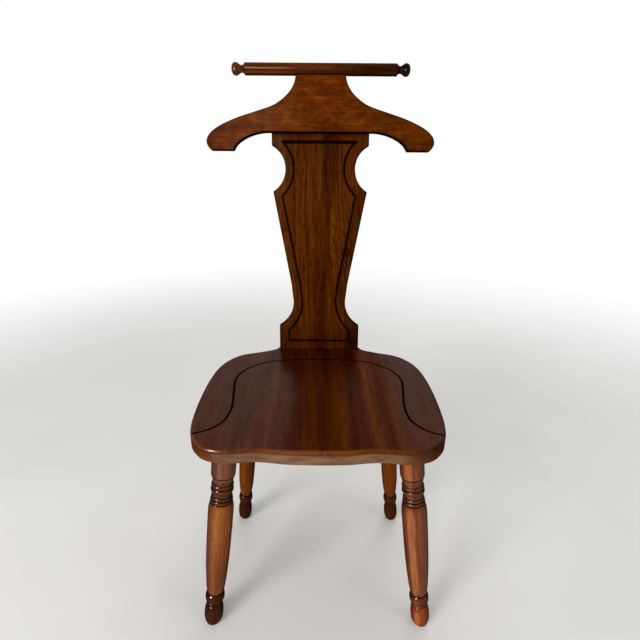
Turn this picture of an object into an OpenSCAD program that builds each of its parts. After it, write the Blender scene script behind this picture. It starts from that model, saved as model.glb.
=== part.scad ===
// Clothes valet chair: a shaped plank seat on four turned legs, a slab back,
// a coat-hanger board across the top of the back and a turned trouser bar.
// Millimetres, +Z up, +X to the sitter's view right, -Y towards the front.
// Origin: middle of the bounding box, on the floor.

/* [Seat] */

// Height of the seat's flat top above the floor
seat_height = 430; // [400:1:480]
// Widest part of the seat, side to side
seat_width = 455; // [400:1:500]
// Front edge of the seat to the front face of the back slab
seat_depth = 386; // [340:1:430]
// Thickness of the seat boards
seat_thick = 26; // [18:1:30]
// Radius of the round-over along the seat's top edge
seat_round = 6; // [2:0.5:8]
// How far the two scooped dips in the front edge go in
front_dip = 7; // [0:0.5:14]
// Width of the middle seat board
board_middle = 76; // [60:1:100]
// Width of the boards on either side of the middle one
board_inner = 86; // [70:1:110]
// Wood behind the back slab's foot
tail_depth = 44; // [34:1:60]
// Width of the decorative channel cut into the seat
seat_channel_width = 4.4; // [2:0.1:7]
// Depth of the decorative channels
channel_depth = 1.8; // [0.8:0.1:3]

/* [Back slab] */

// Lean of the back slab from vertical, degrees
back_rake = 8; // [0:0.5:15]
// Thickness of the back slab
slab_thick = 19; // [15:1:25]
// Half width of the slab's foot on the seat
slab_foot = 92.7; // [70:0.5:110]
// Half width of the slab's lower waist
waist_low = 59.8; // [45:0.5:75]
// Half width of the slab's upper waist
waist_high = 75.9; // [60:0.5:90]
// Half width of the slab where it meets the hanger board
slab_head = 104.7; // [90:0.5:120]
// Width of the line cut into the slab's face
slab_line_width = 3.6; // [2:0.1:6]
// Distance of that line from the slab's edge
slab_line_margin = 21; // [14:0.5:28]
// How far the line has wandered to the left at its upper end
slab_line_drift = 3.2; // [0:0.1:5]

/* [Hanger board] */

// Tip to tip width of the hanger board
hanger_width = 480.4; // [420:1:520]
// Thickness of the hanger board
hanger_thick = 20; // [16:1:26]
// Height of the hanger's neck top above the seat, along the slab
neck_top = 592.4; // [560:1:620]
// Half width of the neck's top
neck_half = 51; // [40:0.5:65]

/* [Trouser bar] */

// Diameter of the trouser bar
bar_dia = 24; // [18:0.5:30]
// Length of the bar without its finials
bar_length = 315; // [260:1:360]
// Largest diameter of a finial
finial_dia = 25.2; // [18:0.1:32]
// Length of a finial outside the bar
finial_length = 26.2; // [18:0.5:36]

/* [Legs] */

// Half distance between the front feet
front_foot_x = 206; // [180:1:230]
// Front feet, measured back from the seat's front edge
front_foot_y = 36; // [10:1:60]
// Half distance between the front legs under the seat
front_top_x = 165; // [140:1:190]
// Front legs under the seat, measured back from the seat's front edge
front_top_y = 96; // [70:1:120]
// Half distance between the rear feet
rear_foot_x = 186; // [160:1:210]
// Rear feet, measured back from the seat's front edge
rear_foot_y = 305; // [280:1:330]
// Half distance between the rear legs under the seat
rear_top_x = 143; // [120:1:160]
// Rear legs under the seat, measured back from the seat's front edge
rear_top_y = 237; // [210:1:270]
// Largest radius of a front leg's shaft
front_shaft_r = 23.7; // [18:0.1:28]
// Largest radius of a rear leg's shaft
rear_shaft_r = 18.1; // [14:0.1:24]
// Radius of the round tenon on top of a leg
leg_tenon_r = 11; // [8:0.5:14]
// Length of that tenon
leg_tenon_length = 15; // [10:0.5:18]

/* [Hidden] */

// Segments of round parts
$fn = 72;
// Gap that lets a glued tenon or dowel slide into its hole
glue_gap = 0.1;
// Size of the blocks that trim parts flat
big = 1200;

seat_half = seat_width / 2;
seat_under = seat_height - seat_thick;
line_inner = board_middle / 2;
line_outer = line_inner + board_inner;
tail_end = seat_depth + tail_depth;
bar_r = bar_dia / 2;
// The bar is bedded this deep in the neck's top edge
bar_bed = 1.2;
bar_up = neck_top - bar_bed + bar_r;
bar_back = -hanger_thick / 2;
slab_top = neck_top - 8;
// Farthest back point: the slab's top rear corner
deepest = seat_depth + slab_top * sin(back_rake) + slab_thick * cos(back_rake);
to_middle = -deepest / 2;

wood_red = [0.33, 0.15, 0.08];
wood_orange = [0.47, 0.24, 0.11];
wood_leg = [0.43, 0.19, 0.09];
steel = [0.62, 0.62, 0.60];
wood_pale = [0.70, 0.54, 0.36];

// ---------- curves ----------

// Point at t between b and c of a smooth curve through a, b, c, d
function smooth_at(a, b, c, d, t) =
    0.5 * (2 * b + (c - a) * t + (2 * a - 5 * b + 4 * c - d) * t * t
           + (3 * b - a - 3 * c + d) * t * t * t);

// Smooth curve through all of the points, n steps between neighbours
function smooth(p, n) =
    let (last = len(p) - 1)
    concat([for (i = [0 : last - 1], k = [0 : n - 1])
                smooth_at(p[max(i - 1, 0)], p[i], p[i + 1],
                          p[min(i + 2, last)], k / n)],
           [p[last]]);

// A closed outline from its right half, whose ends lie on the middle line
function both_sides(p) =
    concat(p, [for (i = [len(p) - 2 : -1 : 1]) [-p[i][0], p[i][1]]]);

function unit(v) = v / norm(v);

// A closed anticlockwise outline moved inwards by d
function inset(p, d) =
    [for (i = [0 : len(p) - 1])
        let (n = len(p),
             a = unit(p[i] - p[(i + n - 1) % n]),
             b = unit(p[(i + 1) % n] - p[i]),
             m = unit(a + b))
        p[i] + d * [-m[1], m[0]] / max(0.6, m * a)];

// A band of the given width along an open line
function band(p, width) =
    let (last = len(p) - 1,
         dir = [for (i = [0 : last])
                   unit(p[min(i + 1, last)] - p[max(i - 1, 0)])],
         left = [for (i = [0 : last])
                    p[i] + width / 2 * [-dir[i][1], dir[i][0]]],
         right = [for (i = [last : -1 : 0])
                    p[i] - width / 2 * [-dir[i][1], dir[i][0]]])
    concat(left, right);

// ---------- seat ----------

// Right half of the seat's outline, from the middle of the front edge round
// the side to the middle of the tail
seat_curve = smooth([
    [0, 0], [48, front_dip * 0.18], [98, front_dip], [146, front_dip * 0.35],
    [seat_half - 48, 8.5], [seat_half - 29, 23], [seat_half - 14.5, 45],
    [seat_half - 5.6, 80], [seat_half - 1.4, 130], [seat_half, 185],
    [seat_half - 1.6, seat_depth - 145], [seat_half - 8.4, seat_depth - 96],
    [seat_half - 23, seat_depth - 58], [seat_half - 49, seat_depth - 29],
    [138, seat_depth - 12.5], [107, seat_depth + 2],
    [slab_foot + 3.6, seat_depth + 18], [slab_foot, tail_end - 12]
], 4);
tail_curve = smooth([
    [slab_foot, tail_end - 12], [slab_foot - 1.5, tail_end - 5],
    [slab_foot - 9, tail_end], [slab_foot - 20, tail_end]
], 3);
seat_right = concat(seat_curve,
                    [for (i = [1 : len(tail_curve) - 1]) tail_curve[i]],
                    [[0, tail_end]]);
seat_outline = both_sides(seat_right);

// Slab of the seat outline with a rounded top edge and a softened bottom edge.
// It runs a little past both flat faces, which the boards' own block cuts.
module seat_blank() {
    steps = 4;
    soft = 1.5;
    past = 0.4;
    last_in = seat_round * (1 - cos(90 - 90 / steps));
    last_down = seat_round * (1 - sin(90 - 90 / steps));
    slope = (seat_round - last_in) / last_down;
    rings = concat(
        [[soft + past, -past - seat_thick], [0, soft - seat_thick]],
        [for (k = [0 : steps - 1])
            let (a = 90 * k / steps)
            [seat_round * (1 - cos(a)), seat_round * (sin(a) - 1)]],
        [[seat_round + past * slope, past]]);
    n = len(seat_outline);
    top = len(rings) - 1;
    points = [for (r = rings) let (p = inset(seat_outline, r[0]))
                  for (q = p) [q[0], q[1], seat_height + r[1]]];
    sides = [for (k = [0 : top - 1], i = [0 : n - 1])
                 let (j = (i + 1) % n)
                 [k * n + i, (k + 1) * n + i, (k + 1) * n + j, k * n + j]];
    floor_face = [[for (i = [0 : n - 1]) i]];
    top_face = [[for (i = [n - 1 : -1 : 0]) top * n + i]];
    polyhedron(points, concat(floor_face, sides, top_face), convexity = 6);
}

// Middle line of the channel in the seat, right half, edge to middle
channel_half = smooth([
    [seat_half + 14, 39], [seat_half - 15.5, 48], [seat_half - 32, 54],
    [seat_half - 46.5, 64], [seat_half - 58, 78.5], [seat_half - 65.3, 98],
    [seat_half - 68, 125], [seat_half - 65.5, 155], [seat_half - 60.8, 190],
    [seat_half - 57.2, 217], [seat_half - 56.3, seat_depth - 147],
    [seat_half - 61, seat_depth - 126], [seat_half - 73, seat_depth - 103],
    [135, seat_depth - 83], [112, seat_depth - 68],
    [86, seat_depth - 60], [50, seat_depth - 55.5], [0, seat_depth - 54]
], 4);
channel_line = concat(channel_half,
    [for (i = [len(channel_half) - 2 : -1 : 0])
        [-channel_half[i][0], channel_half[i][1]]]);

module seat_channel() {
    translate([0, 0, seat_height - channel_depth])
        linear_extrude(height = 10)
            polygon(band(channel_line, seat_channel_width));
}

// Tenons of the slab's foot
tenon_x = 64;
tenon_width = 38;
tenon_thick = 12;

// Places things in the leaning plane of the slab: x across, y back, z up
module lean() {
    translate([0, seat_depth, seat_height])
        rotate([-back_rake, 0, 0])
            children();
}

module slab_tenons(gap, low, high) {
    lean()
        for (side = [-1, 1])
            translate([side * tenon_x, slab_thick / 2, (high + low) / 2])
                cube([tenon_width + 2 * gap, tenon_thick + 2 * gap, high - low],
                     center = true);
}

// Places a leg's axis: z runs from the foot to the top, x = 0 at the axis. The
// quarter turn puts the seam of the turned surfaces on the leg's side.
module along_leg(foot_x, foot_y, top_x, top_y) {
    dx = top_x - foot_x;
    dy = top_y - foot_y;
    translate([foot_x, foot_y, 0])
        rotate([0, atan2(norm([dx, dy]), seat_under), atan2(dy, dx)])
            rotate([0, 0, 90])
                children();
}

function leg_length(foot_x, foot_y, top_x, top_y) =
    norm([top_x - foot_x, top_y - foot_y, seat_under]);

front_length = leg_length(front_foot_x, front_foot_y, front_top_x, front_top_y);
rear_length = leg_length(rear_foot_x, rear_foot_y, rear_top_x, rear_top_y);

// Blind round holes for the leg tenons
module leg_socket() {
    for (side = [0, 1])
        mirror([side, 0, 0]) {
            along_leg(front_foot_x, front_foot_y, front_top_x, front_top_y)
                translate([0, 0, front_length - 20])
                    cylinder(r = leg_tenon_r + glue_gap,
                             h = 20 + leg_tenon_length + 0.6);
            along_leg(rear_foot_x, rear_foot_y, rear_top_x, rear_top_y)
                translate([0, 0, rear_length - 20])
                    cylinder(r = leg_tenon_r + glue_gap,
                             h = 20 + leg_tenon_length + 0.6);
        }
}

// One board of the seat between two glue lines
module seat_board(from_x, to_x) {
    translate([0, to_middle, 0])
        difference() {
            intersection() {
                seat_blank();
                translate([from_x, -60, seat_under])
                    cube([to_x - from_x, tail_end + 120, seat_thick]);
            }
            seat_channel();
            slab_tenons(glue_gap, -60, 20);
            leg_socket();
        }
}

module seat_board_left() {
    color(wood_red) seat_board(-seat_half - 20, -line_outer);
}

module seat_board_left_inner() {
    color(wood_red) seat_board(-line_outer, -line_inner);
}

module seat_board_middle() {
    color(wood_red) seat_board(-line_inner, line_inner);
}

module seat_board_right_inner() {
    color(wood_red) seat_board(line_inner, line_outer);
}

module seat_board_right() {
    color(wood_red) seat_board(line_outer, seat_half + 20);
}

// ---------- back slab ----------

// Heights along the slab, above the seat
foot_top = 57.4;
low_mid = 115;
low_r = 65.7;
high_mid = 409.5;
high_r = 55.5;
shoulder_low = 361.6;
shoulder_high = 458.2;
shoulder_half = 103.2;

// The slab's face: straight foot, tapering panel and head, with a round scoop
// taken from each side at both waists
module slab_face() {
    difference() {
        polygon(both_sides([
            [0, -20], [slab_foot, -20], [slab_foot, foot_top],
            [waist_low + 1.2, 127], [waist_low + 4.2, 155],
            [shoulder_half, shoulder_low], [waist_high + 4, high_mid],
            [slab_head, shoulder_high], [slab_head, 500], [88, 516],
            [44, 532], [44, slab_top], [0, slab_top]
        ]));
        for (side = [-1, 1]) {
            translate([side * (waist_low + low_r), low_mid]) circle(r = low_r);
            translate([side * (waist_high + high_r), high_mid])
                circle(r = high_r);
        }
    }
}

// The cut line follows the slab's edge as a closed loop
function arc(x, y, r, from, to, n) =
    [for (k = [0 : n])
        let (a = from + (to - from) * k / n)
        [x + r * cos(a), y + r * sin(a)]];

line_low_r = low_r + slab_line_margin;
line_high_r = high_r + slab_line_margin;
line_low_x = waist_low + low_r;
line_high_x = waist_high + high_r;
line_foot = slab_foot - slab_line_margin - 1.4;
line_corner = 80.5;
line_head = 79;
line_right = concat(
    [[0, 22.5], [line_foot, 22.5]],
    arc(line_low_x, low_mid, line_low_r,
        180 + acos((line_low_x - line_foot) / line_low_r), 174, 12),
    [[waist_low + 4.2 - slab_line_margin - 0.4, 155]],
    arc(line_high_x, high_mid, line_high_r,
        180 + acos((line_high_x - line_corner) / line_high_r),
        180 - acos((line_high_x - line_head) / line_high_r), 16));
line_top = line_right[len(line_right) - 1][1];
line_drift = slab_line_drift / line_top;
line_loop = [for (p = both_sides(concat(line_right, [[0, line_top]])))
                [p[0] - line_drift * p[1], p[1]]];

// The loop's outside edge minus its inside edge
module slab_line() {
    rotate([90, 0, 0])
        translate([0, 0, -channel_depth])
            difference() {
                linear_extrude(height = 10)
                    polygon(inset(line_loop, -slab_line_width / 2));
                translate([0, 0, -1])
                    linear_extrude(height = 12)
                        polygon(inset(line_loop, slab_line_width / 2));
            }
}

// Thin saw cut in each tenon for its wedge
wedge_thick = 4;
wedge_length = 17;

module wedge_shape(grow) {
    // Seen from the front: wide at the seat's underside, a thin edge on top
    lean()
        for (side = [-1, 1])
            translate([side * tenon_x, slab_thick / 2 + tenon_thick / 2 + grow,
                       -seat_thick - 2])
                rotate([90, 0, 0])
                    linear_extrude(height = tenon_thick + 2 * grow)
                        polygon([
                            [-wedge_thick / 2 - grow, -3],
                            [wedge_thick / 2 + grow, -3],
                            [0.5 + grow, wedge_length + grow],
                            [-0.5 - grow, wedge_length + grow]
                        ]);
}

// Everything below a level, to trim a part flat
module below(level) {
    translate([-big / 2, -big / 2, level - big]) cube([big, big, big]);
}

// Everything above a level, to trim a part flat
module above(level) {
    translate([-big / 2, -big / 2, level]) cube([big, big, big]);
}

module back_slab() {
    color(wood_orange)
        translate([0, to_middle, 0])
            difference() {
                union() {
                    difference() {
                        lean()
                            rotate([90, 0, 0])
                                translate([0, 0, -slab_thick])
                                    linear_extrude(height = slab_thick)
                                        slab_face();
                        below(seat_height);
                    }
                    slab_tenons(0, -40, 3);
                }
                below(seat_under);
                wedge_shape(0.08);
                lean() slab_line();
                lean() screw_holes(screw_r + 0.05, screw_head_r + 0.1);
            }
}

module slab_tenon_wedges() {
    color(wood_pale)
        translate([0, to_middle, 0])
            difference() {
                wedge_shape(0);
                below(seat_under);
            }
}

// ---------- hanger board ----------

hanger_half = hanger_width / 2;
// Height of the hanger's straight lower edge and of its two end flats
hanger_under = 481.3;
hanger_ends = 444.4;
shoulder_curve = smooth([
    [hanger_half - 9, hanger_ends], [hanger_half - 2.6, 452],
    [hanger_half, 462], [hanger_half - 4.4, 474], [hanger_half - 17, 486],
    [hanger_half - 38, 497.6], [hanger_half - 67, 509.4],
    [135, 521.4], [100.5, 532.8], [79.5, 545.6], [65, 559],
    [neck_half + 5.6, 572], [neck_half + 1.9, 583], [neck_half, neck_top]
], 5);
arm_curve = smooth([
    [105, hanger_under], [122, hanger_under - 0.9], [143, 475.6],
    [162, 467.2], [176.4, 456.4], [184.5, hanger_ends]
], 5);
hanger_right = concat([[0, hanger_under]], arm_curve, shoulder_curve,
                      [[0, neck_top]]);

module hanger_board() {
    color(wood_orange)
        translate([0, to_middle, 0])
            lean()
                difference() {
                    rotate([90, 0, 0])
                        linear_extrude(height = hanger_thick)
                            polygon(both_sides(hanger_right));
                    translate([-big / 2, bar_back, bar_up])
                        rotate([0, 90, 0])
                            cylinder(r = bar_r + glue_gap, h = big);
                    bar_dowel_shape(0.05, 0.6);
                    screw_holes(screw_r + 0.05, screw_head_r + 0.1);
                }
}

// Two dowels stand in the neck's top edge and enter the bar from below
dowel_r = 4;
dowel_length = 30;
dowel_x = 28;

module bar_dowel_shape(gap, longer) {
    for (side = [-1, 1])
        translate([side * dowel_x, bar_back, neck_top - 20 - longer])
            cylinder(r = dowel_r + gap, h = dowel_length + 2 * longer);
}

module bar_dowels() {
    color(wood_pale)
        translate([0, to_middle, 0])
            lean()
                bar_dowel_shape(0, 0);
}

// Countersunk screws from the back through the slab into the hanger board
screw_r = 2;
screw_head_r = 4;
screw_length = 32;
screw_places = [[80, 494], [30, 556]];

module at_screws() {
    for (side = [-1, 1], p = screw_places)
        translate([side * p[0], slab_thick, p[1]])
            rotate([90, 0, 0])
                children();
}

module screw_solid(r, head_r, length) {
    cylinder(r = r, h = length - 4);
    translate([0, 0, length - 4]) cylinder(r1 = r, r2 = 0.3, h = 4);
    translate([0, 0, 0.6]) cylinder(r1 = head_r, r2 = r, h = head_r - r);
    translate([0, 0, 0.2]) cylinder(r = head_r, h = 0.4);
}

module screw_holes(r, head_r) {
    at_screws() {
        translate([0, 0, -1]) cylinder(r = head_r, h = 1.6);
        screw_solid(r, head_r, screw_length + 0.5);
    }
}

module hanger_screws() {
    color(steel)
        translate([0, to_middle, 0])
            lean()
                at_screws()
                    difference() {
                        screw_solid(screw_r, screw_head_r, screw_length);
                        for (turn = [0, 90])
                            rotate([0, 0, turn])
                                cube([4.4, 0.9, 3.2], center = true);
                    }
}

// ---------- trouser bar ----------

bar_chamfer = 1.8;
finial_pin_r = 4.5;
finial_pin_length = 16;

module trouser_bar() {
    color(wood_orange)
        translate([0, to_middle, 0])
            lean()
                difference() {
                    translate([0, bar_back, bar_up])
                        rotate([0, 90, 0])
                            rotate_extrude()
                                polygon([
                                    [0, -bar_length / 2],
                                    [bar_r - bar_chamfer, -bar_length / 2],
                                    [bar_r, bar_chamfer - bar_length / 2],
                                    [bar_r, bar_length / 2 - bar_chamfer],
                                    [bar_r - bar_chamfer, bar_length / 2],
                                    [0, bar_length / 2]
                                ]);
                    bar_dowel_shape(0.05, 0.6);
                    for (side = [0, 1])
                        mirror([side, 0, 0])
                            translate([bar_length / 2 - finial_pin_length - 0.6,
                                       bar_back, bar_up])
                                rotate([0, 90, 0])
                                    cylinder(r = finial_pin_r + 0.05,
                                             h = finial_pin_length + 10);
                }
}

// Half profile of a finial, height 0 at the end of the bar
finial_r = finial_dia / 2;
finial_button = finial_length - 13.2;
finial_profile = concat(
    [[0, -finial_pin_length], [finial_pin_r - 0.6, -finial_pin_length],
     [finial_pin_r, 0.6 - finial_pin_length], [finial_pin_r, 0.1],
     [8.4, 0.1], [8.9, 0.9], [8.4, 1.8], [7.4, 2.2], [7.4, 2.8], [8, 3.4],
     [7.6, 4.2]],
    smooth([[6.9, 4.8], [7.1, 6.4], [8.6, 9], [10.2, finial_button - 1.4]], 4),
    [[10.4, finial_button - 1], [10.4, finial_button - 0.3]],
    smooth([[finial_r - 1.6, finial_button], [finial_r, finial_button + 3.2],
            [finial_r - 0.5, finial_button + 7],
            [finial_r - 2.6, finial_button + 10.4], [6.2, finial_length - 0.7],
            [0, finial_length]], 4));

module finial() {
    translate([bar_length / 2, bar_back, bar_up])
        rotate([0, 90, 0])
            rotate_extrude()
                polygon(finial_profile);
}

module finial_left() {
    color(wood_orange)
        translate([0, to_middle, 0])
            lean()
                mirror([1, 0, 0]) finial();
}

module finial_right() {
    color(wood_orange)
        translate([0, to_middle, 0])
            lean() finial();
}

// ---------- legs ----------

// A turned bead: half profile from height a to height b, standing h proud of r
function bead(a, b, r, h) =
    [for (k = [0 : 6])
        let (t = 180 * k / 6)
        [r + h * sin(t), (a + b) / 2 - (b - a) / 2 * cos(t)]];

// Height of the joint between collar and shaft for which the foot is drawn
foot_joint = 68.2;

// Half profile of a leg's foot and collar, heights along the axis from the
// floor. f is the foot's radius and c the collar's.
function foot_profile(f, c, joint) =
    let (tall = joint / foot_joint)
    [for (p = concat(
        [[0, -8], [f - 6.4, -8], [f - 5.6, -4.5]],
        smooth([[f - 4.2, 0.8], [f - 2.1, 4.6], [f - 0.6, 10], [f, 17],
                [f + 0.1, 24], [f - 0.3, 30], [f - 1.3, 35.5],
                [f - 3, 39.8]], 3),
        [[f - 3.9, 41], [f - 4.3, 42.4], [f - 3.8, 43.8]],
        bead(44.4, 48.4, f - 3.2, 1.1),
        bead(49.2, 67.2, c - 2.3, 2.5)))
        [p[0], p[1] > 0 ? p[1] * tall : p[1]]];

// The shaft swells from the collar joint to its belly: share of that height,
// share of its largest radius
shaft_curve = [[0, 0.645], [0.03, 0.69], [0.08, 0.755], [0.185, 0.82],
               [0.30, 0.88], [0.45, 0.93], [0.60, 0.962], [0.78, 0.985],
               [1, 1]];

// Half profile of a whole leg. s is the shaft's largest radius, joint the
// height where the shaft starts and belly where it is thickest.
function leg_profile(s, f, c, joint, belly, length) = concat(
    foot_profile(f, c, joint),
    smooth(concat(
        [for (p = shaft_curve) [s * p[1], joint + p[0] * (belly - joint)]],
        [[s * 0.995, 251.5], [s * 0.97, 259.5], [s * 0.925, 264.5],
         [s * 0.885, 267.9]]), 3),
    [[s * 0.84, 268.7]],
    bead(269.3, 275.1, s * 0.835, s * 0.05),
    bead(275.7, 281.5, s * 0.79, s * 0.055),
    [[s * 0.78, 282.5], [s * 0.765, 285.5], [s * 0.78, 289]],
    bead(289.8, 298.8, s * 0.80, s * 0.09),
    bead(299.6, 307, s * 0.795, s * 0.075),
    smooth([[s * 0.80, 307.9], [s * 0.795, 311.2], [s * 0.83, 315.6],
            [s * 0.885, 320]], 3),
    [[s * 0.835, 321.2], [s * 0.84, 322.2], [s * 0.93, 323.2],
     [s * 0.945, 325.4], [s * 0.955, 342], [s * 0.955, length + 12],
     [0, length + 12]]);

module leg_at(foot_x, foot_y, top_x, top_y, s, f, c, joint, belly) {
    length = leg_length(foot_x, foot_y, top_x, top_y);
    difference() {
        along_leg(foot_x, foot_y, top_x, top_y)
            rotate_extrude()
                polygon(leg_profile(s, f, c, joint, belly, length));
        below(0);
        above(seat_under);
    }
    along_leg(foot_x, foot_y, top_x, top_y)
        translate([0, 0, length - 30])
            cylinder(r = leg_tenon_r, h = 30 + leg_tenon_length);
}

module front_leg() {
    translate([0, to_middle, 0])
        leg_at(front_foot_x, front_foot_y, front_top_x, front_top_y,
               front_shaft_r, 18.1, 18.4, foot_joint, 240);
}

// The rear collars sit higher than the front ones
rear_joint = 88;

module rear_leg() {
    translate([0, to_middle, 0])
        leg_at(rear_foot_x, rear_foot_y, rear_top_x, rear_top_y,
               rear_shaft_r, 16, 16, rear_joint, 185);
}

module front_leg_left() {
    color(wood_leg) mirror([1, 0, 0]) front_leg();
}

module front_leg_right() {
    color(wood_leg) front_leg();
}

module rear_leg_left() {
    color(wood_leg) mirror([1, 0, 0]) rear_leg();
}

module rear_leg_right() {
    color(wood_leg) rear_leg();
}

// ---------- drawing ----------

seat_board_left();
seat_board_left_inner();
seat_board_middle();
seat_board_right_inner();
seat_board_right();
back_slab();
slab_tenon_wedges();
hanger_board();
hanger_screws();
trouser_bar();
bar_dowels();
finial_left();
finial_right();
front_leg_left();
front_leg_right();
rear_leg_left();
rear_leg_right();
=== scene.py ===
"""Looks of a turned-leg valet chair: stained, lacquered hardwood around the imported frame."""
import math

import bpy
from mathutils import Matrix, Vector


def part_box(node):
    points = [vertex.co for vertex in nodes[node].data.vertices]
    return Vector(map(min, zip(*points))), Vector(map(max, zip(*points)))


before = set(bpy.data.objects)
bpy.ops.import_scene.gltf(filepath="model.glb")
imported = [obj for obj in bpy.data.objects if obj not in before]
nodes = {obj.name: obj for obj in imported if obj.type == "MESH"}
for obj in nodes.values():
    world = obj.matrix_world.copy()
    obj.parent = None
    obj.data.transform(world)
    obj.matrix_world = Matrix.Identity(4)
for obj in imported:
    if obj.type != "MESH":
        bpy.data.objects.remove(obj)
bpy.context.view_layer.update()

MM = 0.001
LEFT, RIGHT = -1, 1


# ---------- where things are ----------

seat_low, seat_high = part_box("seat_board_middle")
SEAT_TOP = seat_high.z
SEAT_UNDER = seat_low.z
SEAT_FRONT = seat_low.y

# The slab leans back about the line where its front face meets the seat
LEAN = math.radians(8)
SEAT_DEPTH = 386 * MM
SLAB_FOOT = Vector((0, SEAT_FRONT + SEAT_DEPTH, SEAT_TOP))
SLAB_UP = Vector((0, math.sin(LEAN), math.cos(LEAN)))
SLAB_BACK = Vector((0, math.cos(LEAN), -math.sin(LEAN)))
SLAB_FRONT = -SLAB_BACK
SLAB_THICK = 19 * MM
HANGER_THICK = 20 * MM
# The hanger board's grain is laid out from this height along the slab
HANGER_UP = 500 * MM

# The black line is a channel cut into the seat's top and the slab's front. On the
# slab its right side is nearest to the middle at the waist and spreads from there.
CHANNEL_DEPTH = 1.8 * MM
LINE_WAIST_UP = 155 * MM
LINE_WAIST_X = 40 * MM
LINE_SPREAD = 0.212
# Half the width that holds all of the slab's line, and height and half width of its
# top side
LINE_HALF = 90 * MM
TOP_LINE_UP = 464.4 * MM
TOP_LINE_HALF = 79 * MM

# Leg axes as (foot x, foot y, top x, top y), y measured back from the seat's front
FRONT_LEG = (206 * MM, 36 * MM, 165 * MM, 96 * MM)
REAR_LEG = (186 * MM, 305 * MM, 143 * MM, 237 * MM)

# Heights of the turnings' valleys along a leg's axis: above the foot, above the ring
# and above the collar, and round the beads near the top. The rear collars are higher.
FRONT_FOOT_LINES = [42.4 * MM, 48.8 * MM, 68.2 * MM]
REAR_COLLAR_TOP = 88 * MM
REAR_FOOT_LINES = [z * REAR_COLLAR_TOP / FRONT_FOOT_LINES[-1] for z in FRONT_FOOT_LINES]
BEAD_LINES = [268.7 * MM, 275.4 * MM, 282.5 * MM, 289.4 * MM, 299.2 * MM, 321.7 * MM]


def leg_axis(leg, side):
    """Foot and unit direction of a leg's axis."""
    foot = Vector((side * leg[0], SEAT_FRONT + leg[1], 0))
    top = Vector((side * leg[2], SEAT_FRONT + leg[3], SEAT_UNDER))
    return foot, (top - foot).normalized()


# ---------- short calls for node trees ----------

def srgb(red, green, blue):
    """Linear colour from 0-255 display values."""
    def linear(v):
        v = v / 255
        return v / 12.92 if v <= 0.04045 else ((v + 0.055) / 1.055) ** 2.4
    return (linear(red), linear(green), linear(blue), 1.0)


# Tints say how much is left of a colour's red, green and blue; above 1 makes it paler
DEEP_STAIN = (0.30, 0.22, 0.15)


class Graph:
    """Builds one node tree with calls that return sockets."""

    def __init__(self, tree):
        self.tree = tree
        tree.nodes.clear()

    def node(self, kind, inputs=None, **settings):
        n = self.tree.nodes.new(kind)
        for key, value in settings.items():
            setattr(n, key, value)
        for key, value in (inputs or {}).items():
            self.feed(n.inputs[key], value)
        return n

    def feed(self, socket, value):
        """Links the socket to value if that is a socket too, and else sets it."""
        if isinstance(value, bpy.types.NodeSocket):
            self.tree.links.new(value, socket)
        elif value is not None:
            socket.default_value = value

    def math(self, op, a, b=None):
        return self.node("ShaderNodeMath", {0: a, 1: b}, operation=op).outputs[0]

    def plus(self, a, b):
        return self.math("ADD", a, b)

    def minus(self, a, b):
        return self.math("SUBTRACT", a, b)

    def times(self, value, *factors):
        for factor in factors:
            value = self.math("MULTIPLY", value, factor)
        return value

    def larger(self, a, b):
        return self.math("MAXIMUM", a, b)

    def size(self, value):
        """value without its sign."""
        return self.math("ABSOLUTE", value)

    def above(self, value, limit):
        """1 where value is above limit, else 0."""
        return self.math("GREATER_THAN", value, limit)

    def below(self, value, limit):
        """1 where value is below limit, else 0."""
        return self.math("LESS_THAN", value, limit)

    def swing(self, noise, width):
        """A 0-1 noise as a move to and fro that is width from end to end."""
        return self.times(self.minus(noise, 0.5), width)

    def between(self, value, low, high, to_low=0.0, to_high=1.0):
        """value from low..high to to_low..to_high, smoothly and clamped."""
        return self.node("ShaderNodeMapRange",
                         {0: value, 1: low, 2: high, 3: to_low, 4: to_high},
                         interpolation_type="SMOOTHSTEP").outputs[0]

    def vector(self, op, a, b=None):
        n = self.node("ShaderNodeVectorMath", {0: a, 1: b}, operation=op)
        return n.outputs["Value"] if op in ("DOT_PRODUCT", "LENGTH") else n.outputs[0]

    def split(self, vector):
        """The x, y and z of a vector."""
        return tuple(self.node("ShaderNodeSeparateXYZ", {0: vector}).outputs)

    def place(self):
        """Where the point lies in the frame, in metres."""
        return self.node("ShaderNodeTexCoord").outputs["Object"]

    def normal(self, kind="Normal"):
        """Where the surface looks; kind "True Normal" leaves out smooth shading."""
        return self.node("ShaderNodeNewGeometry").outputs[kind]

    def mix(self, factor, a, b, blend="MIX"):
        return self.node("ShaderNodeMix", {0: factor, 6: a, 7: b}, data_type="RGBA",
                         blend_type=blend).outputs[2]

    def tinted(self, colour, mask, share, tint=DEEP_STAIN):
        """colour times tint where mask is 1, by share."""
        return self.mix(self.times(mask, share), colour,
                        self.mix(1.0, colour, tint + (1.0,), "MULTIPLY"))

    def noise(self, where, scale, detail=2.0, rough=0.5, distort=0.0, output="Fac"):
        """A 0-1 noise; scale is its cells per metre, along all axes or as a tuple."""
        if isinstance(scale, tuple):
            where = self.vector("MULTIPLY", where, scale)
            scale = 1.0
        n = self.node("ShaderNodeTexNoise", {
            "Vector": where, "Scale": scale, "Detail": detail, "Roughness": rough,
            "Distortion": distort})
        return n.outputs[output]

    def ramp(self, value, stops):
        """Colours that change with value; each stop is a position and a colour."""
        n = self.node("ShaderNodeValToRGB", {0: value})
        elements = n.color_ramp.elements
        while len(elements) < len(stops):
            elements.new(0.5)
        for element, (position, colour) in zip(elements, stops):
            element.position = position
            element.color = colour
        return n.outputs["Color"]


def new_material(name):
    """An empty material and the graph that fills it."""
    material = bpy.data.materials.new(name)
    material.use_nodes = True
    return material, Graph(material.node_tree)


# ---------- wood ----------

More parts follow.
